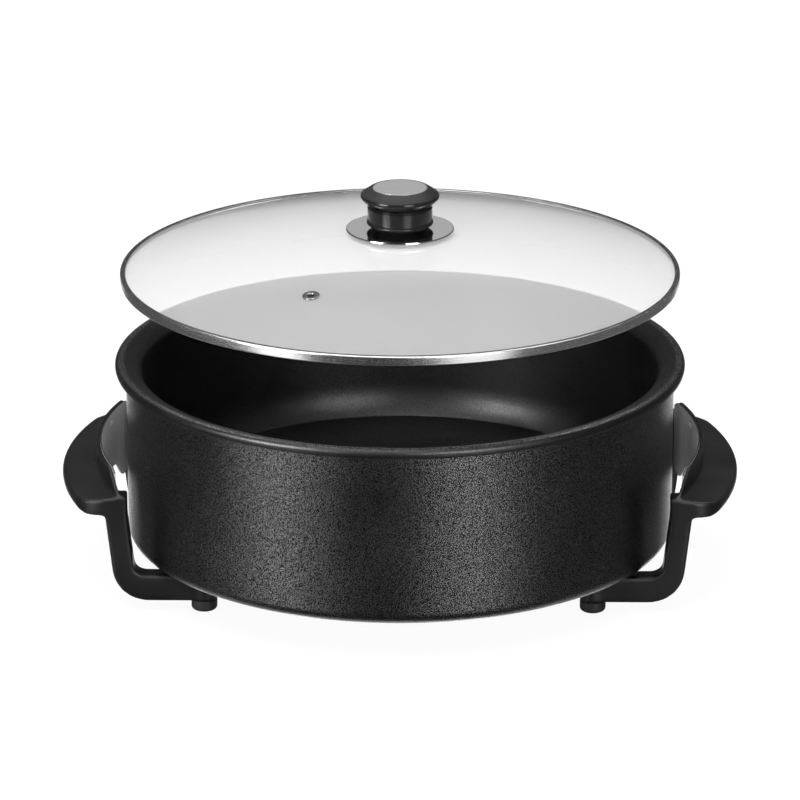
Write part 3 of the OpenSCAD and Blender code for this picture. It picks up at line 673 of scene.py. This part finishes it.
# The moulded handles: the solids' shapes with every edge softened, most on the legs
SOFT_LEG = 1.0
SOFT_GRIP = 0.35
SOFT_CRISP = 0.15
SOFT_FACTOR = 0.5
SOFT_ROUNDS = 26
EVEN_ROUNDS = 3


def softness(point):
    """How much a point of a handle is softened: fully on the legs, little on guard and bosses."""
    x, y, z = [value / MM for value in point]
    if math.hypot(abs(x) - FOOT_X, abs(y) - FOOT_Y) < FOOT_R + BOSS_MARGIN:
        return SOFT_CRISP
    if z > GUARD_Z and math.hypot(x, y) < GUARD_R + GUARD_MARGIN:
        return SOFT_CRISP
    return SOFT_LEG if z < LEG_TOP_Z else SOFT_GRIP


def relax(piece, name, rounds, group=""):
    """Adds a Smooth modifier of so many rounds, weighted by a vertex group."""
    modifier = piece.modifiers.new(name, "SMOOTH")
    modifier.factor = SOFT_FACTOR
    modifier.iterations = rounds
    modifier.vertex_group = group


for side in ("left", "right"):
    handle = copy_of("handle_" + side, "moulded_handle_" + side)
    remesh = handle.modifiers.new("even", "REMESH")
    remesh.mode = "VOXEL"
    remesh.voxel_size = HANDLE_VOXEL * MM
    apply_all(handle)
    rounding = handle.vertex_groups.new(name="rounding")
    for vertex in handle.data.vertices:
        rounding.add([vertex.index], softness(vertex.co), "REPLACE")
    relax(handle, "soften", SOFT_ROUNDS, "rounding")
    relax(handle, "even_out", EVEN_ROUNDS)
    apply_all(handle)
    smooth(handle, 60)
    dress(handle, satin_moulding, "pan", "moulded_black", "handle_" + side)

# Curved heat shields, with painted shade on the faces that look up, and their rivets
for side in ("left", "right"):
    shield = copy_of("heat_shield_" + side, "shield_sheet_" + side)
    round_edges(shield, 0.25, 2, 50)
    # the upper_edge attribute marks the faces that look up, where the shield's finish paints shade
    marks = shield.data.attributes.new("upper_edge", "FLOAT", "POINT")
    for point in shield.data.vertices:
        marks.data[point.index].value = max(0.0, point.normal.z)
    smooth(shield)
    dress(shield, shield_steel, "pan", "brushed_shield", "heat_shield_" + side)
soften_solid("shield_rivets", "shield_rivet_set", shield_steel, "pan", "bright_steel", 0.3, 30)

# Rubber feet, one turned for each boss
foot_line = [(FOOT_BORE_R, FOOT_MOUTH), (FOOT_BORE_R + FOOT_MOUTH, 0.0)]
foot_line += arc((FOOT_R - FOOT_EDGE_R, FOOT_EDGE_R), FOOT_EDGE_R, -90, 0, 8)
foot_line += [(FOOT_R, FOOT_H - FOOT_TOP_EDGE), (FOOT_R - FOOT_TOP_EDGE, FOOT_H),
              (FOOT_SCREW_R, FOOT_H), (FOOT_SCREW_R, FOOT_RECESS), (FOOT_BORE_R, FOOT_RECESS)]
for label, x, y in (("front_left", -1, -1), ("front_right", 1, -1),
                    ("rear_left", -1, 1), ("rear_right", 1, 1)):
    foot = lathe("rubber_foot_" + label, foot_line, FOOT_STEPS)
    put(foot, Matrix.Translation((x * FOOT_X * MM, y * FOOT_Y * MM, 0)))
    dress(foot, foot_rubber, "pan", "foot_rubber", "foot_" + label)

# Small solids of the pan: node, piece, finish, slot and width of the softened edges
for node, name, material, slot, width in (
        ("inlet_socket", "inlet_block", satin_moulding, "moulded_black", 0.4),
        ("inlet_screws", "inlet_screw_pair", plated_steel, "bright_steel", 0.4),
        ("terminal_pins", "terminal_pin_pair", plated_steel, "bright_steel", 0.6),
        ("terminal_insulators", "pin_insulators", white_ceramic, "ceramic", 0.3),
        ("probe_sleeve", "probe_tube", cast_aluminium, "raw_aluminium", 0.2),
        ("earth_contact", "earth_spring", plated_steel, "bright_steel", 0.2),
        ("foot_screws", "foot_screw_set", plated_steel, "bright_steel", 0.4),
        ("foot_nuts", "foot_nut_set", plated_steel, "bright_steel", 0.3),
        ("base_nut", "base_nut_piece", plated_steel, "bright_steel", 0.5),
        ("centre_stud", "centre_stud_piece", cast_aluminium, "raw_aluminium", 0.4)):
    soften_solid(node, name, material, "pan", slot, width)

# Hidden solids that stay as they are and only get a finish
for node, material in (("heat_spreader", cast_aluminium), ("heating_element", cast_aluminium),
                       ("heat_reflector", base_steel)):
    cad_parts[node].data.materials.clear()
    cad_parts[node].data.materials.append(material)

# The lid: domed glass with its bore, in a rolled bright band
dome_half = math.degrees(EDGE_SLOPE)
bore_half = math.degrees(math.asin(KNOB_BORE_R / DOME_R))
inner_half = math.degrees(math.asin((GLASS_R - GLASS_EASE) / (DOME_R - GLASS_T)))
glass_line = arc((0, DOME_Z), DOME_R, 90 - bore_half, 90 - dome_half, 36)
glass_line += arc((0, DOME_Z), DOME_R - GLASS_T, 90 - inner_half, 90 - bore_half, 36)
glass = lathe("lid_pane", glass_line, GLASS_STEPS)

# The place of the steam vent on the dome, with +Z out of the glass
vent_tilt = Matrix.Rotation(math.asin(VENT_REACH / DOME_R), 4, "Y")
VENT_FRAME = (Matrix.Translation((0, 0, DOME_Z * MM)) @ Matrix.Rotation(VENT_TURN, 4, "Z") @ vent_tilt
              @ Matrix.Translation((0, 0, DOME_R * MM)))
start_fresh()
bpy.ops.mesh.primitive_cylinder_add(vertices=VENT_STEPS, radius=VENT_HOLE_R * MM, depth=VENT_DRILL_H * MM)
vent_drill = bpy.context.active_object
put(vent_drill, VENT_FRAME)
cut(glass, vent_drill)
smooth(glass)
dress(glass, clear_pane, "lid", "clear_glass", "lid_glass")

band_top = BAND_Z + BAND_H
band_in_r = BAND_R - BAND_T
lip_r = band_in_r - BAND_LIP
corner_r = BAND_R - BAND_CORNER_R
band_line = [(lip_r, BAND_Z + BAND_EASE), (lip_r + BAND_EASE, BAND_Z)]
band_line += arc((corner_r, BAND_Z + BAND_CORNER_R), BAND_CORNER_R, -90, 0, 8)
band_line += arc((corner_r, band_top - BAND_CORNER_R), BAND_CORNER_R, 0, 90, 8)
band_line += [(lip_r + BAND_EASE, band_top), (lip_r, band_top - BAND_EASE), (lip_r, band_top - BAND_T),
              (band_in_r, band_top - BAND_T), (band_in_r, BAND_Z + BAND_T), (lip_r, BAND_Z + BAND_T)]
band = lathe("lid_edge_band", band_line, BAND_STEPS)
dress(band, band_polish, "lid", "lid_steel", "lid_band")

# Steam vent: a rolled eyelet through the glass and its ring below
eyelet_line = [(2.5, -5.1), (3.7, -5.1), (3.7, 0.1), (6.1, 0.1)]
eyelet_line += arc((5.75, 0.6), 0.5, -60, 90, 6)
eyelet_line += [(3.4, 1.1)]
eyelet_line += arc((3.4, 0.3), 0.8, 90, 170, 5)
eyelet = lathe("vent_eyelet_piece", eyelet_line, VENT_STEPS)
put(eyelet, VENT_FRAME)
dress(eyelet, vent_polish, "lid", "lid_steel", "vent_eyelet")
soften_solid("vent_ring", "vent_under_ring", vent_polish, "lid", "lid_steel", 0.25)

# The knob on its bright plate, with a spun inlay
upper_edge = eased_edge(PLATE_R, KNOB_Z, PLATE_EASE)
lower_edge = [(r, PLATE_Z + KNOB_Z - z) for r, z in reversed(upper_edge)]
plate_line = [(KNOB_BORE_R, PLATE_Z), *lower_edge, *upper_edge, (KNOB_BORE_R, KNOB_Z)]
plate = lathe("knob_base_plate", plate_line, KNOB_STEPS)
dress(plate, plate_polish, "lid", "polished_plate", "knob_plate")

knob_line = [(KNOB_BORE_R, 0.0), (18.3, 0.0), (18.56, 0.2), (22.4, 3.3)]
knob_line += arc((23.2, 4.6), 1.2, -70, 70, 8)
knob_line += [(23.8, 6.6), (23.8, 7.0), (23.8, 11.0), (23.8, 16.2), (23.5, 16.5), (22.9, 16.6),
              (22.9, 17.4), (23.35, 17.5)]
knob_line += arc((HEAD_R - HEAD_EDGE_R, HEAD_EDGE_Z), HEAD_EDGE_R, -50, 56.8, 12)
knob_line += [(24.9, 28.35), (22.6, 29.85), (21.4, 30.5), (20.8, KNOB_H - 0.06), (20.4, KNOB_H - 0.08),
              (INLAY_SEAT_R, KNOB_H - 0.4), (INLAY_SEAT_R, KNOB_H - INLAY_SEAT_H),
              (0.0, KNOB_H - INLAY_SEAT_H), (0.0, KNOB_BORE_H), (KNOB_BORE_R, KNOB_BORE_H)]
knob = lathe("knob_turning", [(r, z + KNOB_Z) for r, z in knob_line], KNOB_STEPS, degrees=35)
dress(knob, gloss_moulding, "lid", "knob_black", "knob")

inlay_top = KNOB_Z + KNOB_H
inlay_line = [(0.0, inlay_top - INLAY_T), (INLAY_R, inlay_top - INLAY_T)]
inlay_line += eased_edge(INLAY_R, inlay_top, INLAY_EASE)
inlay_line += [(0.0, inlay_top)]
inlay = lathe("knob_inlay_disc", inlay_line, INLAY_STEPS)
dress(inlay, spun_inlay, "lid", "brushed_inlay", "knob_inlay")

for node, name, material, slot in (
        ("knob_gasket", "upper_seal", grey_seal, "seal"),
        ("glass_gasket", "lower_seal", grey_seal, "seal"),
        ("knob_washer", "lid_washer", plated_steel, "bright_steel"),
        ("knob_screw", "lid_screw", plated_steel, "bright_steel")):
    soften_solid(node, name, material, "lid", slot, 0.25)


# The studio, in metres: floor, plain light, cards that show in gloss, and camera
def background_rays(tree):
    """A mask of the rays that see the white studio: camera, glossy and transmission rays."""
    path = tree.nodes.new("ShaderNodeLightPath")
    seen = math_node(tree, "MAXIMUM", path.outputs["Is Camera Ray"], path.outputs["Is Glossy Ray"])
    return math_node(tree, "MAXIMUM", seen, path.outputs["Is Transmission Ray"])


FLOOR_SIZE = 30.0
FLOOR_TONE = 0.9
FLOOR_WHITE = 1.08
FLOOR_WHITE_SHARE = 0.86
start_fresh()
bpy.ops.mesh.primitive_plane_add(size=FLOOR_SIZE)
floor = bpy.context.active_object
floor.name = "studio_floor"
floor_paint = bpy.data.materials.new("floor_paint")
floor_paint.use_nodes = True
tree = floor_paint.node_tree
tree.nodes.clear()
matte = tree.nodes.new("ShaderNodeBsdfDiffuse")
matte.inputs["Color"].default_value = grey(FLOOR_TONE)
glow = tree.nodes.new("ShaderNodeEmission")
glow.inputs["Color"].default_value = grey(1)
glow.inputs["Strength"].default_value = FLOOR_WHITE
mix = tree.nodes.new("ShaderNodeMixShader")
tree.links.new(math_node(tree, "MULTIPLY", background_rays(tree), FLOOR_WHITE_SHARE), mix.inputs["Fac"])
tree.links.new(matte.outputs[0], mix.inputs[1])
tree.links.new(glow.outputs[0], mix.inputs[2])
output = tree.nodes.new("ShaderNodeOutputMaterial")
tree.links.new(mix.outputs[0], output.inputs["Surface"])
floor.data.materials.append(floor_paint)
floor.visible_glossy = False

WORLD_LIGHT = 0.75
world = bpy.data.worlds.new("white_studio")
bpy.context.scene.world = world
world.use_nodes = True
tree = world.node_tree
background = tree.nodes["Background"]
background.inputs["Color"].default_value = grey(1)
tree.links.new(between(tree, background_rays(tree), WORLD_LIGHT, 1.0), background.inputs["Strength"])


def card(name, place, width, height, strength, fade=None, through=False):
    """A card of the studio that shows in gloss, and through glass where that is asked for.

    fade = the axis along which it changes, the ends of the change, and the strength it goes to.
    """
    start_fresh()
    bpy.ops.mesh.primitive_plane_add(size=1)
    panel = bpy.context.active_object
    panel.name = name
    panel.matrix_world = place @ Matrix.Diagonal((width, height, 1, 1))
    material = bpy.data.materials.new(name)
    material.use_nodes = True
    tree = material.node_tree
    tree.nodes.clear()
    glow = tree.nodes.new("ShaderNodeEmission")
    glow.inputs["Strength"].default_value = strength
    if fade:
        axis, start, end, other = fade
        faded = spread(tree, object_axis(tree, axis), start, end, strength, other)
        tree.links.new(faded, glow.inputs["Strength"])
    output = tree.nodes.new("ShaderNodeOutputMaterial")
    tree.links.new(glow.outputs[0], output.inputs["Surface"])
    material.cycles.emission_sampling = "NONE"
    panel.data.materials.append(material)
    panel.visible_camera = False
    panel.visible_diffuse = False
    panel.visible_transmission = through
    panel.visible_shadow = False


def upright(azimuth, distance, height):
    """The place of a standing card, its azimuth in degrees from the front."""
    angle = math.radians(azimuth)
    spot = Vector((distance * math.sin(angle), -distance * math.cos(angle), height))
    return (Matrix.Translation(spot) @ Matrix.Rotation(angle, 4, "Z")
            @ Matrix.Rotation(math.pi / 2, 4, "X"))


def top_lamp(name, place, size, power):
    """A wide lamp over the pan that gives the plain light."""
    data = bpy.data.lights.new(name, "AREA")
    data.shape = "SQUARE"
    data.size = size
    data.energy = power
    lamp = bpy.data.objects.new(name, data)
    bpy.context.scene.collection.objects.link(lamp)
    lamp.location = place
    aim = Vector((0, 0, 0.1)) - lamp.location
    lamp.rotation_euler = aim.to_track_quat("-Z", "Y").to_euler()


# The panels whose highlights stand on the casing, and the high ones that light up the far wall
card("left_panel", upright(-48, 2.2, -0.67), width=0.8, height=1.9, strength=2.6)
card("right_panel", upright(31, 2.2, -0.67), width=1.0, height=1.9, strength=2.1)
card("left_high_panel", upright(-49, 2.3, 0.9), width=1.0, height=1.2, strength=24.0, through=True)
card("right_high_panel", upright(26, 2.3, 0.9), width=1.0, height=1.2, strength=12.8, through=True)

# Dark walls all round, lightest at the sides; those behind fade to white below the horizon
WALL_R = 6.0
WALL_Z = -0.5
WALL_W = 2.56
WALL_H = 9.0
WALL_TURN = 24
REAR_TURN = 168
SURROUND = (0.04, 0.07, 0.1, 0.13, 0.13, 0.13, 0.13)
RIGHT_GAIN = 1.3
for index in range(-6, 7):
    gain = RIGHT_GAIN if index > 2 else 1.0
    card("surround_%d" % (index + 6), upright(WALL_TURN * index, WALL_R, WALL_Z), width=WALL_W,
         height=WALL_H, strength=SURROUND[abs(index)] * gain, through=abs(index) < 4)
for side in (-1, 1):
    card("rear_screen_%d" % (side + 1), upright(REAR_TURN * side, WALL_R, WALL_Z), width=WALL_W,
         height=WALL_H, strength=0.07, fade=("Y", -0.1, -0.16, 2.5))

# The card that the knob's plate mirrors, the strip over the rim's crest, and top and bottom
card("plate_card", upright(180, 1.0, 0.585), width=0.14, height=0.1, strength=0.62)
card("top_strip", Matrix.Translation((0, 1.3, 3.9)), width=5.0, height=1.9, strength=7.0)
card("ceiling", Matrix.Translation((0, 0, 4.0)), width=12.0, height=12.0, strength=0.15, through=True)
card("pit", Matrix.Translation((0, -2.5, -4.9)), width=12.0, height=7.0, strength=0.12)
top_lamp("overhead_lamp", (-0.3, -0.9, 2.2), size=1.6, power=28)

# The camera, with its focal length in pixels of a picture 800 pixels wide
CAMERA_D = 4.0
CAMERA_EL = math.radians(19.0)
CAMERA_AZ = math.radians(0.7)
CAMERA_AIM = Vector((0, 0, 0.1310))
SENSOR = 36.0
PICTURE = 800.0
FOCUS = 5408.0
camera_data = bpy.data.cameras.new("camera")
camera_data.sensor_width = SENSOR
camera_data.lens = FOCUS / PICTURE * SENSOR
camera_data.clip_end = 100
camera = bpy.data.objects.new("camera", camera_data)
bpy.context.scene.collection.objects.link(camera)
camera.location = CAMERA_AIM + CAMERA_D * Vector((
    math.sin(CAMERA_AZ) * math.cos(CAMERA_EL), -math.cos(CAMERA_AZ) * math.cos(CAMERA_EL),
    math.sin(CAMERA_EL)))
camera.rotation_euler = (CAMERA_AIM - camera.location).to_track_quat("-Z", "Y").to_euler()
bpy.context.scene.camera = camera
bpy.context.scene.view_settings.view_transform = "Standard"
